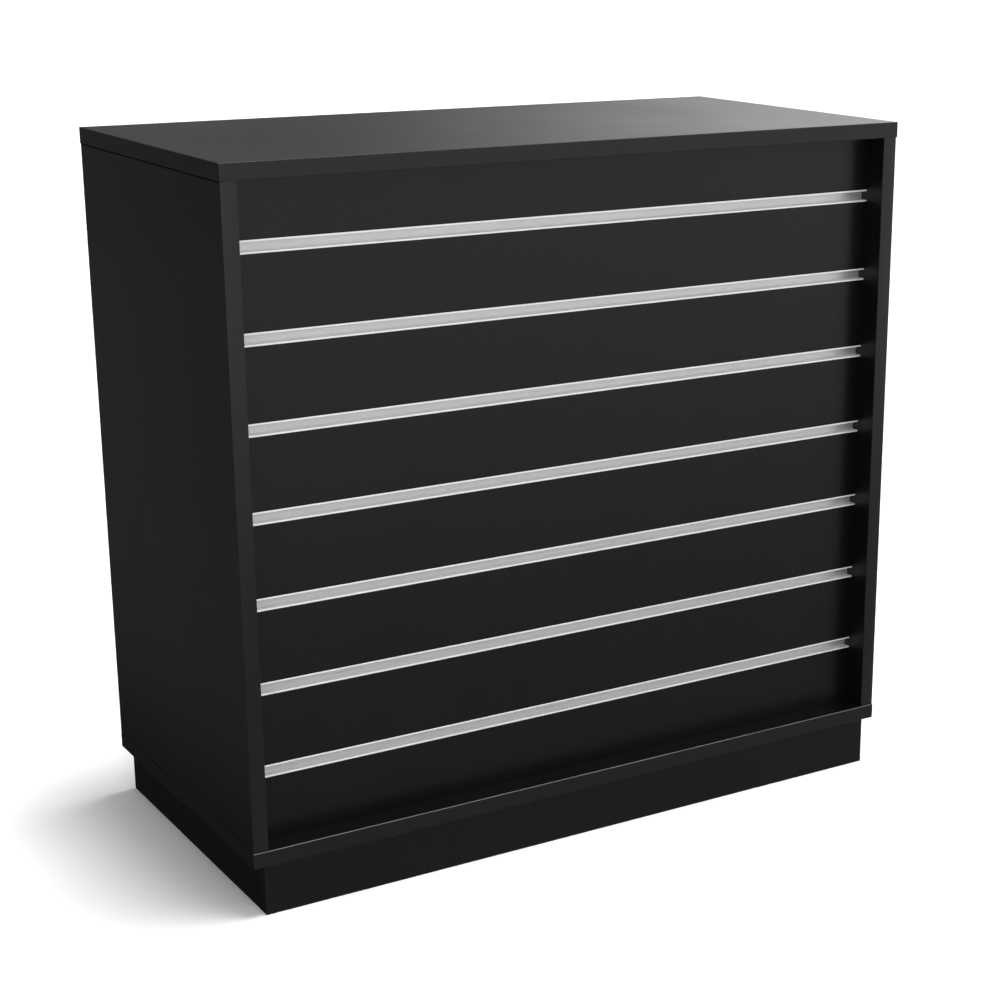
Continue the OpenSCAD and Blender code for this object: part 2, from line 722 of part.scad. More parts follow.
module drawer_pull() color(black_plastic) translate([-bay_x, face_rear, pull_z]) difference() {
  union() {
    plate(pull_w, pull_h, pull_corner_r, pull_flange_t);
    translate([0, -pull_depth, 0]) plate(cup_w, cup_h, pull_corner_r, pull_depth);
  }
  difference() {
    translate([0, pull_wall - pull_depth, 0])
      plate(cup_w - 2 * pull_wall, cup_h - 2 * pull_wall, pull_corner_r - pull_wall, pull_depth + 2);
    block([-cup_w, 0, cup_h / 2 - pull_wall - pull_lip], [cup_w, pull_flange_t, cup_h]);
  }
}

// A board of the drawer's box, with the groove that its base stands in
module box_board(low, high) color(raw_wood) difference() {
  block(low, high);
  base_space(base_groove + fit_gap, drawer_base_t + fit_gap);
  at_box_screws() screw_hole(drawer_board_t + screw_bite);
  at_front_screws() screw_hole(drawer_board_t + screw_bite);
}

// The base board's space, let into the box's boards by a reach
module base_space(reach, thickness)
  block([-bay_x - box_inner_w / 2 - reach, box_y0 + drawer_board_t - reach, base_z],
        [-bay_x + box_inner_w / 2 + reach, face_inner - drawer_board_t + reach, base_z + thickness]);

module drawer_box_side(side) {
  x = -bay_x + side * (box_w - drawer_board_t) / 2;
  box_board([x - drawer_board_t / 2, box_y0, box_bottom], [x + drawer_board_t / 2, face_inner, box_top]);
}

module drawer_box_end(y0)
  box_board([-bay_x - box_inner_w / 2, y0, box_bottom],
            [-bay_x + box_inner_w / 2, y0 + drawer_board_t, box_top]);

module drawer_base() color(raw_wood) base_space(base_groove, drawer_base_t);

module drawer_screws() color(zinc) {
  at_front_screws() screw(drawer_board_t + screw_bite);
  at_box_screws() screw(drawer_board_t + screw_bite);
}

// Lock

module lock_housing() color(zinc) translate([-bay_x, 0, lock_z]) rotate([-90, 0, 0]) difference() {
  union() {
    translate([0, 0, face_rear]) cylinder(r = lock_flange_r, h = lock_flange_t);
    translate([0, 0, face_inner - lock_tail]) cylinder(r = lock_r, h = board_t + lock_tail);
  }
  translate([0, 0, face_inner - lock_tail - 1])
    cylinder(r = barrel_r + hole_gap, h = board_t + lock_tail + lock_flange_t + 2);
}

module lock_barrel() color(zinc) translate([-bay_x, 0, lock_z]) difference() {
  union() {
    rotate([-90, 0, 0]) translate([0, 0, face_inner - lock_tail])
      cylinder(r = barrel_r, h = board_t + lock_tail + lock_flange_t - barrel_sink);
    block([-shank_w / 2, cam_y - 1, -shank_w / 2], [shank_w / 2, face_inner - lock_tail, shank_w / 2]);
  }
  translate([-keyway[2] / 2, face_rear + lock_flange_t - barrel_sink - keyway[1], -keyway[0] / 2])
    cube([keyway[2], keyway[1] + 1, keyway[0]]);
}

module lock_cam() color(zinc) translate([-bay_x, cam_y, lock_z]) difference() {
  block([-cam_back, 0, -cam_w / 2], [cam_throw, cam_t, cam_w / 2]);
  block([-shank_w / 2 - hole_gap, -1, -shank_w / 2 - hole_gap],
        [shank_w / 2 + hole_gap, cam_t + 1, shank_w / 2 + hole_gap]);
}

top_panel();
top_edging();
bottom_panel();
bottom_edging();
left_side();
right_side();
centre_partition();
upright_edging();
slatwall_panel();
for (n = [1:slot_count]) slot_insert(n);
cleat(-1);  // left_cleat
cleat(1);  // right_cleat
cleat_screws();
cam_housings();
cam_bolts();
cam_caps();
panel_dowels();
plinth_front();
plinth_back();
plinth_side(-1);  // plinth_left
plinth_side(1);  // plinth_right
plinth_brace();
plinth_edging();
corner_blocks();
plinth_screws();
leveller_bushes();
leveller_caps();
for (n = [1:len(leveller_places)])
  leveller_stud(leveller_places[n - 1]);
for (n = [1:len(leveller_places)])
  leveller_pad(leveller_places[n - 1]);
shelf_pins();
left_shelf();
right_shelf();
shelf_edging();
runner_cabinet_members();
runner_middle_members();
runner_drawer_members();
drawer_front();
drawer_front_edging();
drawer_pull();
drawer_box_end(face_inner - drawer_board_t);  // drawer_box_front
drawer_box_end(box_y0);  // drawer_box_back
drawer_box_side(-1);  // drawer_box_left
drawer_box_side(1);  // drawer_box_right
drawer_base();
drawer_screws();
lock_housing();
lock_barrel();
lock_cam();
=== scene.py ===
import json
import math

import bmesh
import bpy
from mathutils import Matrix, Vector


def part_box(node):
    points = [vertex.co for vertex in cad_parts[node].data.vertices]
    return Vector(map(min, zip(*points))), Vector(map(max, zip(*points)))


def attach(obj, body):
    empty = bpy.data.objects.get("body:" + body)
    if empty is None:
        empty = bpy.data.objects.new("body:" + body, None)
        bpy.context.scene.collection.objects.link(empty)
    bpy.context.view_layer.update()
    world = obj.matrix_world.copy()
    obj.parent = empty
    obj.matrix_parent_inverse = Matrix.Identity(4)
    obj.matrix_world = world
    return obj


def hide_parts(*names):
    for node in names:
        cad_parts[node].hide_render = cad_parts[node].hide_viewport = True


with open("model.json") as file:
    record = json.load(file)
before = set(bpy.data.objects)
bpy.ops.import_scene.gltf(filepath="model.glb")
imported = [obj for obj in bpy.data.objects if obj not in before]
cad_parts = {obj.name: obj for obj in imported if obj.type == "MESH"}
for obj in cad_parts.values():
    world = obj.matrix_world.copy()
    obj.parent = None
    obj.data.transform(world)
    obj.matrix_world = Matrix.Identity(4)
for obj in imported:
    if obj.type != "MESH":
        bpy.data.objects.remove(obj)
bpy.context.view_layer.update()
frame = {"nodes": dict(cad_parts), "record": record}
nodes = frame["nodes"]

# Camera: the photograph's viewpoint, in metres and degrees, fitted to the counter's edges
CAMERA_PLACE = (-1.2700, -2.2687, 1.1075)
CAMERA_YAW = 32.60
CAMERA_PITCH = 16.97
CAMERA_ROLL = 0.31
FOCAL_PIXELS = 2092.8
PHOTO_WIDTH = 1000
PHOTO_AXIS = (620, 550)
SENSOR_WIDTH = 36
VIEW_END = 200

# Floor: the colour that it lights the object with, the whiter one that the camera and reflections see, how
# far its fibres vary both, and its size
FLOOR_COLOUR = 0.92
FLOOR_SEEN = 1.20
FLOOR_VARIES = 0.01
FLOOR_SIZE = 80

# Studio lamps: compass angle from +Y towards +X, height above the horizon, size and strength
TOP_LAMP = {"turn": 111, "height": 80, "size": 17, "strength": 2.25}
FRONT_LAMP = {"turn": 185, "height": 42, "size": 52, "strength": 0.85}

# Studio walls: the plain level of their light on the object, and the white that is seen
WORLD_LEVEL = 0.256
WORLD_SEEN = 1.0

# Glowing wall sheet behind the counter, seen only in reflections as a painted reflection: distance, height,
# the compass angles that it spans, how dark it is at its left end, and its turns to paler, each from one
# compass angle to another by a rise in level
WALL_DISTANCE = 6
WALL_HEIGHT = 6
WALL_STEP = 5
WALL_SPAN = (-100, 100)
WALL_DARK = 0.08
WALL_TURNS = ((-30, 5, 0.11), (21, 57, 1.50))

# Glowing floor sheets beside the plinth, seen only in reflections as painted shade of the floor near the
# counter: height over the floor, gap to the plinth and length, and for the left and the front one how far
# out the grey turns from dark to pale, and how dark and pale it is
SHEET_LIFT = 0.0005
SHEET_GAP = 0.0003
SHEET_REACH = 6.0
LEFT_PAINTED_SHADE = {"turns": 0.3, "dark": 0.03, "pale": 0.115}
FRONT_PAINTED_SHADE = {"turns": 3.0, "dark": 0.37, "pale": 0.96}

# How far every sheet's glow varies in level
GLOW_VARIES = 0.004


# Node trees

# The values that most of a noise lies between
NOISE_LOW = 0.3
NOISE_HIGH = 0.7

# How far a rounded normal leans from the face's own, as a cosine, where an edge's wear begins and is full
EDGE_BEGINS = 0.995
EDGE_FULL = 0.8
EDGE_SAMPLES = 4

# The same for the painted highlight along one arris, from the direction that its round faces
ARRIS_BEGINS = 0.86
ARRIS_FULL = 0.97
ARRIS_SAMPLES = 6


class Shade:
    """A material's node tree, built one node at a time."""

    def __init__(self, name):
        self.material = bpy.data.materials.new(name)
        self.material.use_nodes = True
        self.tree = self.material.node_tree
        self.tree.nodes.clear()
        self.output = self.add("ShaderNodeOutputMaterial")

    def add(self, kind, **settings):
        """A node. Settings that name an input give its value or its link, others are the node's own."""
        made = self.tree.nodes.new(kind)
        for key, value in settings.items():
            label = key.replace("_", " ")
            if label in made.inputs:
                self.set(made.inputs[label], value)
            else:
                setattr(made, key, value)
        return made

    def set(self, socket, value):
        if isinstance(value, bpy.types.NodeSocket):
            self.tree.links.new(value, socket)
        else:
            socket.default_value = value

    def place(self, scale=(1, 1, 1)):
        """The piece's own coordinates in metres, stretched by a scale."""
        coordinates = self.add("ShaderNodeTexCoord")
        mapping = self.add("ShaderNodeMapping")
        mapping.inputs["Scale"].default_value = scale
        self.set(mapping.inputs["Vector"], coordinates.outputs["Object"])
        return mapping.outputs["Vector"]

    def noise(self, scale, detail=2.0, roughness=0.5, stretch=(1, 1, 1), distortion=0.0):
        made = self.add("ShaderNodeTexNoise", Scale=scale, Detail=detail, Roughness=roughness,
                        Distortion=distortion)
        self.set(made.inputs["Vector"], self.place(stretch))
        return made.outputs["Fac"]

    def remap(self, value, low, high, out_low, out_high):
        made = self.add("ShaderNodeMapRange")
        self.set(made.inputs["Value"], value)
        made.inputs["From Min"].default_value = low
        made.inputs["From Max"].default_value = high
        made.inputs["To Min"].default_value = out_low
        made.inputs["To Max"].default_value = out_high
        return made.outputs["Result"]

    def spread(self, noise, out_low, out_high):
        """A noise, stretched from the values that most of it lies between."""
        return self.remap(noise, NOISE_LOW, NOISE_HIGH, out_low, out_high)

    def math(self, operation, a, b):
        made = self.add("ShaderNodeMath", operation=operation)
        self.set(made.inputs[0], a)
        self.set(made.inputs[1], b)
        return made.outputs[0]

    def mix(self, factor, a, b):
        """A colour between a and b."""
        made = self.add("ShaderNodeMix", data_type="RGBA")
        self.set(made.inputs["Factor"], factor)
        for label, value in (("A", a), ("B", b)):
            sockets = [s for s in made.inputs if s.name == label and s.type == "RGBA"]
            self.set(sockets[0], value if isinstance(value, bpy.types.NodeSocket) else (*value, 1))
        return [s for s in made.outputs if s.type == "RGBA"][0]

    def bump(self, height, strength, distance):
        made = self.add("ShaderNodeBump", Strength=strength, Distance=distance)
        self.set(made.inputs["Height"], height)
        return made.outputs["Normal"]

    def edge(self, radius):
        """1 on edges within a radius, 0 away from them."""
        bevel = self.add("ShaderNodeBevel", samples=EDGE_SAMPLES)
        bevel.inputs["Radius"].default_value = radius
        flat = self.add("ShaderNodeNewGeometry")
        dot = self.add("ShaderNodeVectorMath", operation="DOT_PRODUCT")
        self.set(dot.inputs[0], bevel.outputs["Normal"])
        self.set(dot.inputs[1], flat.outputs["True Normal"])
        return self.remap(dot.outputs["Value"], EDGE_BEGINS, EDGE_FULL, 0.0, 1.0)

    def arris(self, direction, radius):
        """1 on edges within a radius whose round faces a direction, 0 elsewhere."""
        bevel = self.add("ShaderNodeBevel", samples=ARRIS_SAMPLES)
        bevel.inputs["Radius"].default_value = radius
        dot = self.add("ShaderNodeVectorMath", operation="DOT_PRODUCT")
        self.set(dot.inputs[0], bevel.outputs["Normal"])
        dot.inputs[1].default_value = Vector(direction).normalized()
        return self.remap(dot.outputs["Value"], ARRIS_BEGINS, ARRIS_FULL, 0.0, 1.0)

    def within(self, low, high):
        """1 inside a box of the piece's own coordinates, 0 outside it."""
        place = self.add("ShaderNodeSeparateXYZ")
        self.set(place.inputs[0], self.place())
        inside = 1.0
        for n in range(3):
            above = self.math("GREATER_THAN", place.outputs[n], low[n])
            below = self.math("LESS_THAN", place.outputs[n], high[n])
            inside = self.math("MULTIPLY", inside, self.math("MULTIPLY", above, below))
        return inside

    def finish(self, colour, roughness, normal, metallic=0.0, specular=0.5):
        surface = self.add("ShaderNodeBsdfPrincipled")
        self.set(surface.inputs["Base Color"], colour)
        self.set(surface.inputs["Roughness"], roughness)
        self.set(surface.inputs["Metallic"], metallic)
        self.set(surface.inputs["Specular IOR Level"], specular)
        self.set(surface.inputs["Normal"], normal)
        self.set(self.output.inputs["Surface"], surface.outputs["BSDF"])
        return self.material


# Materials

# Where the inserts' lips begin, between what depths behind that their painted highlight fades, in metres,
# and how much painted light from above their ledges get
LIP_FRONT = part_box("slot_insert_1")[0].y
HIGHLIGHT_FROM = 0.0014
HIGHLIGHT_TO = 0.0085
LEDGE_LIGHT = 0.85

# The room inside the carcass, in metres, where the facing is painted less black as fill light for its shade
SKIN = 0.0002
INSIDE_LOW = (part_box("left_side")[1].x - SKIN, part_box("slatwall_panel")[1].y - SKIN,
              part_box("bottom_panel")[1].z - SKIN)
INSIDE_HIGH = (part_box("right_side")[0].x + SKIN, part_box("drawer_front")[1].y - SKIN,
               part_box("top_panel")[0].z + SKIN)

# The strips of the sides' inner faces in front of the slats, which are rubbed dull, and how much rougher
DULLNESS = 0.14
DULL_BOXES = [((x - SKIN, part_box("left_side")[0].y - SKIN, INSIDE_LOW[2]),
               (x + SKIN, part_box("slatwall_panel")[0].y, INSIDE_HIGH[2]))
              for x in (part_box("left_side")[1].x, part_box("right_side")[0].x)]


def black_melamine():
    """Satin black board facing with a fine grain, faint haze, rubbed edges and a charcoal inside that is
    painted fill light.
    """
    s = Shade("black_melamine")
    grain = s.noise(1600, detail=2)
    haze = s.noise(5, detail=4, roughness=0.6, distortion=0.4)
    rub = s.edge(0.0008)
    tone = s.mix(haze, (0.0024, 0.0024, 0.0025), (0.0034, 0.0034, 0.0035))
    # Painted fill light: the facing inside the carcass is paler where it lies in shade
    painted_fill_tone = s.mix(haze, (0.034, 0.034, 0.035), (0.044, 0.044, 0.045))
    faced = s.mix(s.within(INSIDE_LOW, INSIDE_HIGH), tone, painted_fill_tone)
    colour = s.mix(s.math("MULTIPLY", rub, 0.30), faced, (0.040, 0.040, 0.041))
    satin = s.math("ADD", s.spread(haze, 0.26, 0.31), s.spread(grain, -0.02, 0.02))
    dull = s.math("ADD", s.within(*DULL_BOXES[0]), s.within(*DULL_BOXES[1]))
    roughness = s.math("ADD", satin, s.math("MULTIPLY", dull, DULLNESS))
    return s.finish(colour, roughness, s.bump(grain, 0.10, 0.00005), specular=0.28)


def black_edging(name, highlight_tone):
    """Extruded plastic banding with a faint grain, worn arrises and a painted highlight along its upper
    front one.
    """
    s = Shade(name)
    grain = s.noise(900, detail=3)
    haze = s.noise(9, detail=3)
    tone = s.mix(haze, (0.0045, 0.0045, 0.0046), (0.0060, 0.0060, 0.0061))
    paler_tone = s.mix(s.math("MULTIPLY", s.edge(0.0006), 0.15), tone, (0.11, 0.11, 0.11))
    along = s.spread(s.noise(1.0, detail=3, stretch=(18, 1, 1)), 0.6, 1.0)
    # Painted highlight along the upper front arris, paler by the given tone
    arris_highlight = s.math("MULTIPLY", s.arris((0, -1, 1), 0.0012), along)
    colour = s.mix(arris_highlight, paler_tone, (highlight_tone,) * 3)
    roughness = s.spread(haze, 0.34, 0.40)
    return s.finish(colour, roughness, s.bump(grain, 0.08, 0.00005), specular=0.32)


def insert_aluminium():
    """Satin anodised extrusion with drawing lines along X, with painted highlight on its lips and painted
    light on its ledge.
    """
    s = Shade("insert_aluminium")
    lines = s.noise(1.0, detail=5, roughness=0.6, stretch=(6, 2600, 2600))
    patches = s.noise(14, detail=3)
    depth = s.add("ShaderNodeSeparateXYZ")
    s.set(depth.inputs[0], s.place())
    # Painted highlight on the lips, fading with depth into the darker channel
    lip_highlight = s.remap(depth.outputs["Y"], LIP_FRONT + HIGHLIGHT_FROM, LIP_FRONT + HIGHLIGHT_TO, 1.0, 0.0)
    facing = s.add("ShaderNodeSeparateXYZ")
    s.set(facing.inputs[0], s.add("ShaderNodeTexCoord").outputs["Normal"])
    # Painted light from above on the ledge's upward faces
    ledge_light = s.remap(facing.outputs["Z"], 0.5, 0.9, 0.0, LEDGE_LIGHT)
    painted_light = s.math("MAXIMUM", lip_highlight, ledge_light)
    inside = s.mix(lines, (0.56, 0.56, 0.57), (0.66, 0.66, 0.66))
    # The paler colour of the painted highlight and painted light
    paler_tone = s.mix(lines, (0.92, 0.92, 0.92), (0.97, 0.97, 0.97))
    roughness = s.math("ADD", s.spread(lines, 0.26, 0.36), s.spread(patches, -0.02, 0.04))
    return s.finish(s.mix(painted_light, inside, paler_tone), roughness, s.bump(lines, 0.10, 0.00004),
                    metallic=s.remap(painted_light, 0, 1, 0.60, 0.35))


def zinc_steel():
    """Bright zinc plate: cool, faintly clouded and drawn along Y."""
    s = Shade("zinc_steel")
    clouds = s.noise(120, detail=4, roughness=0.65)
    lines = s.noise(1.0, detail=4, stretch=(1500, 30, 1500))
    colour = s.mix(clouds, (0.52, 0.54, 0.57), (0.66, 0.67, 0.68))
    roughness = s.math("ADD", s.spread(clouds, 0.25, 0.38), s.spread(lines, -0.04, 0.04))
    return s.finish(colour, roughness, s.bump(lines, 0.12, 0.00005), metallic=1.0)


def lock_nickel():
    """Satin nickel with fine swirled handling marks."""
    s = Shade("lock_nickel")
    marks = s.noise(900, detail=4, roughness=0.7, distortion=1.5)
    colour = s.mix(marks, (0.34, 0.33, 0.31), (0.46, 0.45, 0.43))
    return s.finish(colour, s.remap(marks, 0.35, 0.7, 0.20, 0.36), s.bump(marks, 0.08, 0.00004),
                    metallic=1.0)


def bare_wood():
    """Planed softwood: growth lines along X with darker latewood."""
    s = Shade("bare_wood")
    rings = s.noise(60, detail=4, roughness=0.55, stretch=(0.08, 1, 1), distortion=0.6)
    pores = s.noise(700, detail=2, stretch=(0.05, 1, 1))
    tone = s.mix(s.remap(rings, 0.35, 0.65, 0, 1), (0.62, 0.44, 0.26), (0.42, 0.26, 0.13))
    colour = s.mix(s.remap(pores, 0.55, 0.75, 0, 0.4), tone, (0.30, 0.18, 0.09))
    return s.finish(colour, s.spread(rings, 0.55, 0.7), s.bump(pores, 0.3, 0.0002), specular=0.35)


def drawer_board():
    """Dark grey linen-pattern board facing, a woven relief under a matt skin."""
    s = Shade("drawer_board")
    warp = s.noise(1.0, detail=2, stretch=(1400, 220, 220))
    weft = s.noise(1.0, detail=2, stretch=(220, 220, 1400))
    weave = s.math("MULTIPLY", warp, weft)
    colour = s.mix(s.remap(weave, 0.15, 0.35, 0, 1), (0.036, 0.036, 0.038), (0.062, 0.062, 0.064))
    return s.finish(colour, s.remap(weave, 0.1, 0.4, 0.42, 0.58), s.bump(weave, 0.25, 0.00012),
                    specular=0.35)


def black_plastic():
    """Moulded black plastic with a fine spark-eroded grain."""
    s = Shade("black_plastic")
    grain = s.noise(2600, detail=2, roughness=0.6)
    haze = s.noise(30, detail=3)
    colour = s.mix(haze, (0.012, 0.012, 0.012), (0.019, 0.019, 0.019))
    roughness = s.math("ADD", s.spread(haze, 0.45, 0.55), s.spread(grain, -0.04, 0.04))
    return s.finish(colour, roughness, s.bump(grain, 0.35, 0.00008), specular=0.4)


MATERIALS = {
    "black_board": black_melamine(),
    # Every edging has a faint painted highlight along its upper front arris
    "black_edging": black_edging("black_edging", 0.06),
    "insert_aluminium": insert_aluminium(),
    "bare_wood": bare_wood(),
    "drawer_board": drawer_board(),
    "zinc_steel": zinc_steel(),
    "lock_chrome": lock_nickel(),
    "black_plastic": black_plastic(),
}


# Carried-over CAD nodes

SLOT_OF = {row["node"]: row["material_slot"] for row in frame["record"]["subparts"]}
BODY_OF = {node: body for body, held in frame["record"]["behaviour"]["bodies"].items() for node in held}

for name, piece in nodes.items():
    piece.data.materials.clear()
    piece.data.materials.append(MATERIALS[SLOT_OF[name]])

# The bottom panel's edging, with a stronger painted highlight along its upper front arris
nodes["bottom_edging"].data.materials[0] = black_edging("scuffed_edging", 0.30)


# Mesh code

MM = 0.001

# How near to each other points are joined, and how near to a place an edge lies at it, in metres
WELD = 0.000001
SAME_PLACE = 0.00001

# The angle between faces, in degrees, under which a CAD mesh's own triangles are one face, and over which
# an edge is rounded
FLAT = 1
SHARP = 30

# How many straight parts an arc and a rounded edge have
ARC_PARTS = 4
EDGE_PARTS = 2


def rounded(outline):
    """An outline's points, each (x, y, radius), with its corners turned into arcs."""
    points = []
    for n, (x, y, radius) in enumerate(outline):
        here = Vector((x, y))
        before = (Vector(outline[n - 1][:2]) - here).normalized()
        after = (Vector(outline[(n + 1) % len(outline)][:2]) - here).normalized()
        half = before.angle(after) / 2
        start = here + before * (radius / math.tan(half))
        centre = here + (before + after).normalized() * (radius / math.sin(half))
        spoke = start - centre
        sweep = (math.pi - 2 * half) * (1 if before.x * after.y - before.y * after.x < 0 else -1)
        for step in range(ARC_PARTS + 1):
            turn = sweep * step / ARC_PARTS
            points.append(centre + Vector((spoke.x * math.cos(turn) - spoke.y * math.sin(turn),
                                           spoke.x * math.sin(turn) + spoke.y * math.cos(turn))))
    return points


def skin(bm, rings):
    """Faces over rows of points that each run round, with a face over each end."""
    rows = [[bm.verts.new(p) for p in ring] for ring in rings]
    for low, high in zip(rows, rows[1:]):
        count = len(low)
        for n in range(count):
            bm.faces.new((low[n], low[(n + 1) % count], high[(n + 1) % count], high[n]))
    bm.faces.new(list(reversed(rows[0])))
    bm.faces.new(rows[-1])


def lathe(bm, profile, place, steps, shape):
    """Rings round the local Z axis from a profile of (radius, height), with each point sunk by a shape."""
    rings = []
    for radius, height in profile:
        ring = []
        for n in range(steps):
            turn = 2 * math.pi * n / steps
            x, y = radius * math.cos(turn), radius * math.sin(turn)
            ring.append(place @ Vector((x, y, height - shape(x, y, height))))
        rings.append(ring)
    skin(bm, rings)


def make_piece(node, ending, bm, smooth):
    """The bmesh as a piece that stands for a CAD node: on its body and with its slot's material."""
    bmesh.ops.remove_doubles(bm, verts=bm.verts, dist=WELD)
    bmesh.ops.recalc_face_normals(bm, faces=bm.faces)
    mesh = bpy.data.meshes.new(node + ending)
    bm.to_mesh(mesh)
    bm.free()
    piece = bpy.data.objects.new(node + ending, mesh)
    bpy.context.collection.objects.link(piece)
    mesh.materials.append(MATERIALS[SLOT_OF[node]])
    mesh.shade_smooth()
    mesh.set_sharp_from_angle(angle=math.radians(smooth))
    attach(piece, BODY_OF[node])
    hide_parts(node)


def cad_copy(node):
    """A CAD node's mesh in a bmesh, with its split corners joined."""
    bm = bmesh.new()
    bm.from_mesh(nodes[node].data)
    bmesh.ops.remove_doubles(bm, verts=bm.verts, dist=WELD)
    bmesh.ops.dissolve_limit(bm, angle_limit=math.radians(FLAT), verts=bm.verts, edges=bm.edges)
    return bm


def lies_at(edge, axis, place):
    return all(abs(v.co[axis] - place) < SAME_PLACE for v in edge.verts)


def at_ends(edge, low, high):
    """Whether an edge runs round the top or bottom end of a node's box."""
    return lies_at(edge, 2, low.z) or lies_at(edge, 2, high.z)


def at_outer_ends(edge, low, high):
    """Whether an edge runs along the top or bottom end of a side's outer face."""
    return at_ends(edge, low, high) and lies_at(edge, 0, low.x if low.x < 0 else high.x)


def soften(node, width, chosen=None, profile=0.5):
    """A CAD node with its edges rounded: all of its sharp ones, or those that are chosen by the node's box.
    A profile of 0 cuts a square groove instead."""
    low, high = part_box(node)
    bm = cad_copy(node)
    sharp = [e for e in bm.edges if len(e.link_faces) == 2 and e.calc_face_angle() > math.radians(SHARP)]
    if chosen:
        sharp = [e for e in sharp if chosen(e, low, high)]
    bmesh.ops.bevel(bm, geom=sharp, offset=width, segments=EDGE_PARTS, profile=profile, affect="EDGES",
                    clamp_overlap=True)
    make_piece(node, "_rounded", bm, SHARP)


def solids(node):
    """The corners of a CAD node's separate solids, low and high, and the points of each."""
    bm = cad_copy(node)
    left = set(bm.verts)
    found = []
    while left:
        stack, points = [left.pop()], []
        while stack:
            vert = stack.pop()
            points.append(vert.co.copy())
            for edge in vert.link_edges:
                other = edge.other_vert(vert)
                if other in left:
                    left.remove(other)
                    stack.append(other)
        low = Vector([min(p[n] for p in points) for n in range(3)])
        high = Vector([max(p[n] for p in points) for n in range(3)])
        found.append((low, high, points))
    bm.free()
    return sorted(found, key=lambda solid: tuple(solid[0]))


# Slot inserts: the CAD's section with rounded lips and bends, in millimetres from the slat's face

LIP_T = 0.8
LIP_HALF = 7.5
NECK_OUT = 6.4
NECK_IN = 5.5
HOOK_Y = 3.2
HOLLOW_Y = 4.1
HOLLOW_OUT = 10.8
HOLLOW_IN = 9.9
REAR_Y = 10.4
WALL = 0.9
LIP_R = 0.38
BEND_R = 0.7
FILLET = 0.35
INSERT_SECTION = [
    (-LIP_T, NECK_IN, LIP_R), (-LIP_T, LIP_HALF, LIP_R), (0, LIP_HALF, LIP_R), (0, NECK_OUT, 0.1),
    (HOOK_Y, NECK_OUT, FILLET), (HOOK_Y, HOLLOW_OUT, BEND_R), (REAR_Y, HOLLOW_OUT, BEND_R),
    (REAR_Y, -NECK_OUT, FILLET), (HOLLOW_Y, -NECK_OUT, FILLET), (HOLLOW_Y, -HOLLOW_OUT, FILLET),
    (HOOK_Y, -HOLLOW_OUT, FILLET), (HOOK_Y, -NECK_OUT, FILLET), (0, -NECK_OUT, 0.1), (0, -LIP_HALF, LIP_R),
    (-LIP_T, -LIP_HALF, LIP_R), (-LIP_T, -NECK_IN, LIP_R), (REAR_Y - WALL, -NECK_IN, FILLET),
    (REAR_Y - WALL, HOLLOW_IN, FILLET), (HOLLOW_Y, HOLLOW_IN, FILLET), (HOLLOW_Y, NECK_IN, FILLET),
]
INSERT_PIECES = 24
INSERT_SMOOTH = 50


def slot_insert(node):
    """One insert, split along its length so that its faces stay short."""
    low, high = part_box(node)
    face_y = low[1] + LIP_T * MM
    middle_z = (low[2] + high[2]) / 2
    section = rounded(INSERT_SECTION)
    bm = bmesh.new()
    rings = []
    for n in range(INSERT_PIECES + 1):
        x = low[0] + (high[0] - low[0]) * n / INSERT_PIECES
        rings.append([Vector((x, face_y + p.x * MM, middle_z + p.y * MM)) for p in section])
    skin(bm, rings)
    make_piece(node, "_rolled", bm, INSERT_SMOOTH)


for name in sorted(nodes):
    if name.startswith("slot_insert_"):
        slot_insert(name)


# Screws: countersunk heads with a cross recess

SCREW_HEAD_R = 4.0
SCREW_SHANK_R = 2.0
SCREW_TIP = 4.0
CROSS_HALF_W = 0.55
CROSS_REACH = 2.4
CROSS_DEPTH = 1.5
CROSS_WALL = 0.22
HEAD_RINGS = 14
HEAD_FLAT = 0.96
SCREW_STEPS = 40
SCREW_SMOOTH = 40

# The head's rim, as shares of its radius and heights, and how much deeper than at 45 degrees its cone ends
HEAD_RIM = [(0.99, -0.06), (1, -0.2), (0.97, -0.35)]
CONE_FOOT = 0.3

# How near to its end a CAD screw's points show how wide that end is, in metres
END_DEPTH = 0.0002


def cross_recess(x, y, height):
    """How deep a screw's recess is at a point of its head, in millimetres."""
    if height < 0:
        return 0
    deepest = 0
    for along, across in ((abs(x), abs(y)), (abs(y), abs(x))):
        wall = min(max((CROSS_HALF_W + CROSS_WALL - across) / CROSS_WALL, 0), 1)
        reach = min(max((CROSS_REACH - along) / (CROSS_REACH / 2), 0), 1)
        deepest = max(deepest, CROSS_DEPTH * wall * reach)
    return deepest


def screws(node):
    """Every screw of a CAD node, each in its own place."""
    bm = bmesh.new()
    for low, high, points in solids(node):
        spans = high - low
        axis = max(range(3), key=lambda n: spans[n])
        middle = (low + high) / 2
        ends = []
        for at in (low[axis], high[axis]):
            near = [p - middle for p in points if abs(p[axis] - at) < END_DEPTH]
            ends.append(max(p.length_squared - p[axis] ** 2 for p in near))
        head_high = ends[1] > ends[0]
        out = Vector([0, 0, 0])
        out[axis] = 1 if head_high else -1
        top = middle.copy()
        top[axis] = high[axis] if head_high else low[axis]
        turn = out.to_track_quat("Z", "Y").to_matrix().to_4x4()
        place = Matrix.Translation(top) @ turn @ Matrix.Scale(MM, 4)
        length = spans[axis] / MM
        rise = SCREW_HEAD_R - SCREW_SHANK_R
        profile = [(SCREW_HEAD_R * HEAD_FLAT * n / HEAD_RINGS, 0) for n in range(HEAD_RINGS + 1)]
        profile += [(SCREW_HEAD_R * share, height) for share, height in HEAD_RIM]
        profile += [(SCREW_SHANK_R, -rise - CONE_FOOT), (SCREW_SHANK_R, SCREW_TIP - length), (0, -length)]
        lathe(bm, profile, place, SCREW_STEPS, cross_recess)
    make_piece(node, "_crossed", bm, SCREW_SMOOTH)


for name in ("cleat_screws", "plinth_screws", "drawer_screws"):
    screws(name)


# Leveller studs, in millimetres: a rolled thread, a collar and a foot in the pad, with a hex socket on top

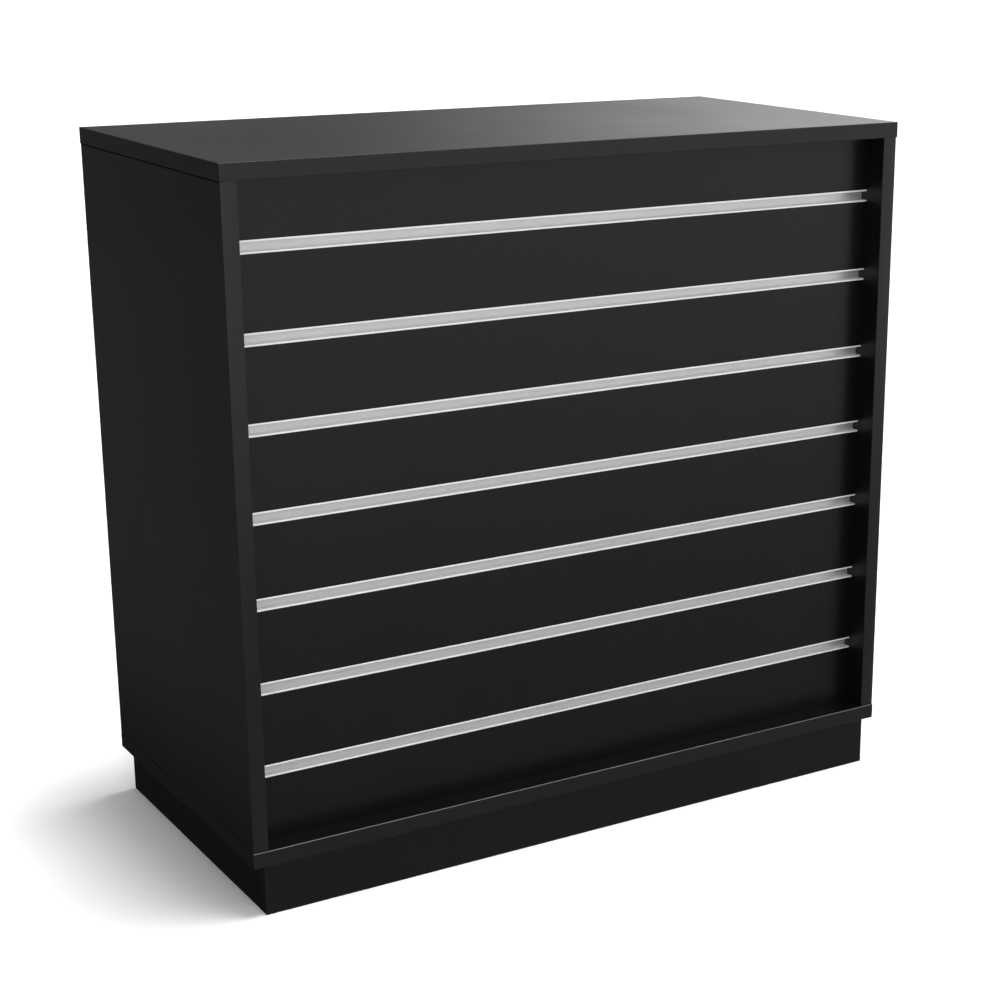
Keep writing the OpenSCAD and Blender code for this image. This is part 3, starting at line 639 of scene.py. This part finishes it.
THREAD_PITCH = 1.25
THREAD_DEPTH = 0.55
THREAD_STEPS = 24
THREAD_ROWS = 5
THREAD_FLANK = 2.4
THREAD_END = 1
THREAD_SMOOTH = 40
STUD_R = 4.0
STUD_COLLAR_T = 3.5
STUD_COLLAR_R = 5.5
STUD_FOOT_R = 2.8
PAD_T = 6.0
FOOT_Z = 2.0
SOCKET_R = 2.2
SOCKET_DEPTH = 5.0
SOCKET_RIM = 0.15
SOCKET_CHAMFER = 0.2
CHAMFER = 0.3
FOOT_ROUND = 0.4
TOP_CHAMFER = 0.8


def threaded_stud(node):
    low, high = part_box(node)
    place = Matrix.Translation(((low.x + high.x) / 2, (low.y + high.y) / 2, 0)) @ Matrix.Scale(MM, 4)
    top = high.z / MM
    start = PAD_T + STUD_COLLAR_T
    turns = [2 * math.pi * n / THREAD_STEPS for n in range(THREAD_STEPS)]
    rings = [[Vector((0, 0, FOOT_Z))] * THREAD_STEPS]

    def ring(radius, height):
        rings.append([Vector((radius * math.cos(t), radius * math.sin(t), height)) for t in turns])

    for radius, height in ((STUD_FOOT_R - FOOT_ROUND, FOOT_Z), (STUD_FOOT_R, FOOT_Z + FOOT_ROUND),
                           (STUD_FOOT_R, PAD_T), (STUD_COLLAR_R - CHAMFER, PAD_T),
                           (STUD_COLLAR_R, PAD_T + CHAMFER), (STUD_COLLAR_R, start - CHAMFER),
                           (STUD_COLLAR_R - CHAMFER, start)):
        ring(radius, height)
    rows = int((top - THREAD_END - start) / THREAD_PITCH * THREAD_ROWS)
    for row in range(rows + 1):
        height = start + row * THREAD_PITCH / THREAD_ROWS
        points = []
        for n, t in enumerate(turns):
            along = (row / THREAD_ROWS - n / THREAD_STEPS) % 1
            radius = STUD_R - THREAD_DEPTH * min(abs(along - 0.5) * THREAD_FLANK, 1)
            points.append(Vector((radius * math.cos(t), radius * math.sin(t), height)))
        rings.append(points)
    ring(STUD_R - THREAD_DEPTH, top - TOP_CHAMFER)
    ring(STUD_R - 2 * THREAD_DEPTH, top)
    ring(SOCKET_R + SOCKET_RIM, top)
    socket = []
    half = math.pi / 6
    for t in turns:
        radius = SOCKET_R * math.cos(half) / math.cos((t + half) % (2 * half) - half)
        socket.append((radius * math.cos(t), radius * math.sin(t)))
    for height in (top - SOCKET_CHAMFER, top - SOCKET_DEPTH):
        rings.append([Vector((x, y, height)) for x, y in socket])
    bm = bmesh.new()
    skin(bm, [[place @ p for p in points] for points in rings])
    make_piece(node, "_threaded", bm, THREAD_SMOOTH)


for name in sorted(nodes):
    if name.startswith("leveller_stud_"):
        threaded_stud(name)


# Pieces that only need their edges rounded, with the radius in millimetres

ROUNDED_EDGES = {
    "drawer_pull": 0.7, "lock_housing": 0.35, "lock_barrel": 0.25, "lock_cam": 0.3, "cam_caps": 0.3,
    "leveller_caps": 0.4, "leveller_pad_1": 0.5, "leveller_pad_2": 0.5, "leveller_pad_3": 0.5,
    "leveller_pad_4": 0.5, "shelf_pins": 0.35, "corner_blocks": 0.8, "drawer_box_left": 0.8,
    "drawer_box_right": 0.8, "drawer_box_front": 0.6, "drawer_box_back": 0.6, "runner_cabinet_members": 0.5,
    "runner_middle_members": 0.5, "runner_drawer_members": 0.5,
}
for name, radius in ROUNDED_EDGES.items():
    soften(name, radius * MM)

# Uprights, which leave a dark shadow gap outside at the panels that they meet
SHADOW_GAP = 1.6
STRIP_END_R = 0.4
for name in ("left_side", "right_side"):
    soften(name, SHADOW_GAP * MM, chosen=at_outer_ends, profile=0)
soften("upright_edging", STRIP_END_R * MM, chosen=at_ends)


# Stage

def make_floor():
    """A wide white paper floor that keeps shadows."""
    mesh = bpy.data.meshes.new("floor")
    half = FLOOR_SIZE / 2
    mesh.from_pydata([(-half, -half, 0), (half, -half, 0), (half, half, 0), (-half, half, 0)], [],
                     [(0, 1, 2, 3)])
    floor = bpy.data.objects.new("floor", mesh)
    bpy.context.collection.objects.link(floor)
    s = Shade("floor_paper")
    fibre = s.noise(300, detail=3)
    papers = []
    for colour in (FLOOR_COLOUR, FLOOR_SEEN):
        tone = s.mix(fibre, (colour - FLOOR_VARIES,) * 3, (colour + FLOOR_VARIES,) * 3)
        papers.append(s.add("ShaderNodeBsdfDiffuse", Color=tone).outputs[0])
    rays = s.add("ShaderNodeLightPath")
    seen = s.math("MAXIMUM", rays.outputs["Is Camera Ray"],
                  s.math("MAXIMUM", rays.outputs["Is Glossy Ray"], rays.outputs["Is Transmission Ray"]))
    choice = s.add("ShaderNodeMixShader")
    s.set(choice.inputs[0], seen)
    s.set(choice.inputs[1], papers[0])
    s.set(choice.inputs[2], papers[1])
    s.set(s.output.inputs["Surface"], choice.outputs[0])
    mesh.materials.append(s.material)


def make_lamp(name, place):
    """A far soft lamp."""
    data = bpy.data.lights.new(name, "SUN")
    data.energy = place["strength"]
    data.angle = math.radians(place["size"])
    lamp = bpy.data.objects.new(name, data)
    turn, height = math.radians(place["turn"]), math.radians(place["height"])
    across = math.cos(height)
    towards = Vector((math.sin(turn) * across, math.cos(turn) * across, math.sin(height)))
    lamp.rotation_mode = "QUATERNION"
    lamp.rotation_quaternion = towards.to_track_quat("Z", "Y")
    bpy.context.collection.objects.link(lamp)


def painted_reflection(name, value, turns, start):
    """A grey glow for painted reflections and painted shade, whose level turns as a value of its place
    rises, by (low, high, rise) turns.
    """
    s = Shade(name)
    place = s.add("ShaderNodeSeparateXYZ")
    s.set(place.inputs[0], s.add("ShaderNodeNewGeometry").outputs["Position"])
    level = s.remap(s.noise(40, detail=2), 0, 1, start - GLOW_VARIES, start + GLOW_VARIES)
    for low, high, rise in turns:
        ramp = s.add("ShaderNodeMapRange", interpolation_type="SMOOTHSTEP")
        s.set(ramp.inputs["Value"], value(s, place))
        for label, number in (("From Min", low), ("From Max", high), ("To Min", 0), ("To Max", rise)):
            ramp.inputs[label].default_value = number
        level = s.math("ADD", level, ramp.outputs["Result"])
    cloth = s.add("ShaderNodeEmission", Strength=level)
    s.set(s.output.inputs["Surface"], cloth.outputs[0])
    return s.material


def make_glow_sheet(name, points, faces, material):
    """A glowing sheet that only shows in reflections, as a grey painted reflection."""
    mesh = bpy.data.meshes.new(name)
    mesh.from_pydata(points, [], faces)
    mesh.materials.append(material)
    flag = bpy.data.objects.new(name, mesh)
    bpy.context.collection.objects.link(flag)
    flag.visible_camera = False
    flag.visible_diffuse = False
    flag.visible_shadow = False
    flag.visible_transmission = False


def make_painted_reflections():
    """A curved glowing wall behind the counter as painted reflection, and one flat glowing sheet to its
    left and one in front as painted shade of the floor near the counter.
    """
    points, faces = [], []
    for degrees in range(WALL_SPAN[0], WALL_SPAN[1] + 1, WALL_STEP):
        turn = math.radians(degrees)
        x, y = WALL_DISTANCE * math.sin(turn), WALL_DISTANCE * math.cos(turn)
        points += [(x, y, SHEET_LIFT), (x, y, WALL_HEIGHT)]
    for n in range(0, len(points) - 2, 2):
        faces.append((n, n + 1, n + 3, n + 2))
    turns = [(math.radians(low), math.radians(high), rise) for low, high, rise in WALL_TURNS]
    make_glow_sheet("wall_flag", points, faces, painted_reflection(
        "wall_flag_cloth", lambda s, place: s.math("ARCTAN2", place.outputs["X"], place.outputs["Y"]),
        turns, WALL_DARK))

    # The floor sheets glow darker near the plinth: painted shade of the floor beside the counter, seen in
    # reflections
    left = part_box("plinth_left")[0].x - SHEET_GAP
    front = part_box("plinth_front")[0].y - SHEET_GAP
    square = [(0, 1, 2, 3)]
    corners = [(left, front), (left - SHEET_REACH, front - SHEET_REACH), (left - SHEET_REACH, SHEET_REACH),
               (left, SHEET_REACH)]
    make_glow_sheet("left_flag", [(x, y, SHEET_LIFT) for x, y in corners], square, painted_reflection(
        "left_flag_cloth", lambda s, place: s.math("SUBTRACT", left, place.outputs["X"]),
        [(0, LEFT_PAINTED_SHADE["turns"], LEFT_PAINTED_SHADE["pale"] - LEFT_PAINTED_SHADE["dark"])], LEFT_PAINTED_SHADE["dark"]))
    corners = [(left, front), (SHEET_REACH, front), (SHEET_REACH, front - SHEET_REACH),
               (left - SHEET_REACH, front - SHEET_REACH)]
    make_glow_sheet("front_flag", [(x, y, SHEET_LIFT) for x, y in corners], square, painted_reflection(
        "front_flag_cloth", lambda s, place: s.math("SUBTRACT", front, place.outputs["Y"]),
        [(0, FRONT_PAINTED_SHADE["turns"], FRONT_PAINTED_SHADE["pale"] - FRONT_PAINTED_SHADE["dark"])], FRONT_PAINTED_SHADE["dark"]))


def make_world():
    """White to the camera and to reflections, and a plain soft light on everything."""
    world = bpy.data.worlds.new("studio")
    bpy.context.scene.world = world
    world.use_nodes = True
    tree = world.node_tree
    tree.nodes.clear()
    output = tree.nodes.new("ShaderNodeOutputWorld")
    background = tree.nodes.new("ShaderNodeBackground")
    background.inputs["Color"].default_value = (1, 1, 1, 1)
    rays = tree.nodes.new("ShaderNodeLightPath")
    seen = rays.outputs["Is Camera Ray"]
    for label in ("Is Glossy Ray", "Is Transmission Ray"):
        larger = tree.nodes.new("ShaderNodeMath")
        larger.operation = "MAXIMUM"
        tree.links.new(seen, larger.inputs[0])
        tree.links.new(rays.outputs[label], larger.inputs[1])
        seen = larger.outputs[0]
    level = tree.nodes.new("ShaderNodeMapRange")
    level.inputs["To Min"].default_value = WORLD_LEVEL
    level.inputs["To Max"].default_value = WORLD_SEEN
    tree.links.new(seen, level.inputs["Value"])
    tree.links.new(level.outputs["Result"], background.inputs["Strength"])
    tree.links.new(background.outputs[0], output.inputs["Surface"])


def make_camera():
    data = bpy.data.cameras.new("camera")
    camera = bpy.data.objects.new("camera", data)
    bpy.context.collection.objects.link(camera)
    yaw, pitch, roll = (math.radians(a) for a in (CAMERA_YAW, CAMERA_PITCH, CAMERA_ROLL))
    right = Vector((math.cos(yaw), -math.sin(yaw), 0))
    ahead = Vector((math.sin(yaw) * math.cos(pitch), math.cos(yaw) * math.cos(pitch), -math.sin(pitch)))
    up = right.cross(ahead)
    turned_right = math.cos(roll) * right + math.sin(roll) * up
    turned_up = math.cos(roll) * up - math.sin(roll) * right
    turn = Matrix((turned_right, turned_up, -ahead)).transposed()
    camera.matrix_world = Matrix.Translation(CAMERA_PLACE) @ turn.to_4x4()
    data.sensor_width = SENSOR_WIDTH
    data.lens = FOCAL_PIXELS / PHOTO_WIDTH * SENSOR_WIDTH
    data.shift_x = (PHOTO_WIDTH / 2 - PHOTO_AXIS[0]) / PHOTO_WIDTH
    data.shift_y = (PHOTO_AXIS[1] - PHOTO_WIDTH / 2) / PHOTO_WIDTH
    data.clip_end = VIEW_END
    bpy.context.scene.camera = camera


make_floor()
make_painted_reflections()
make_lamp("top_lamp", TOP_LAMP)
make_lamp("front_lamp", FRONT_LAMP)
make_world()
make_camera()
bpy.context.scene.view_settings.view_transform = "Standard"
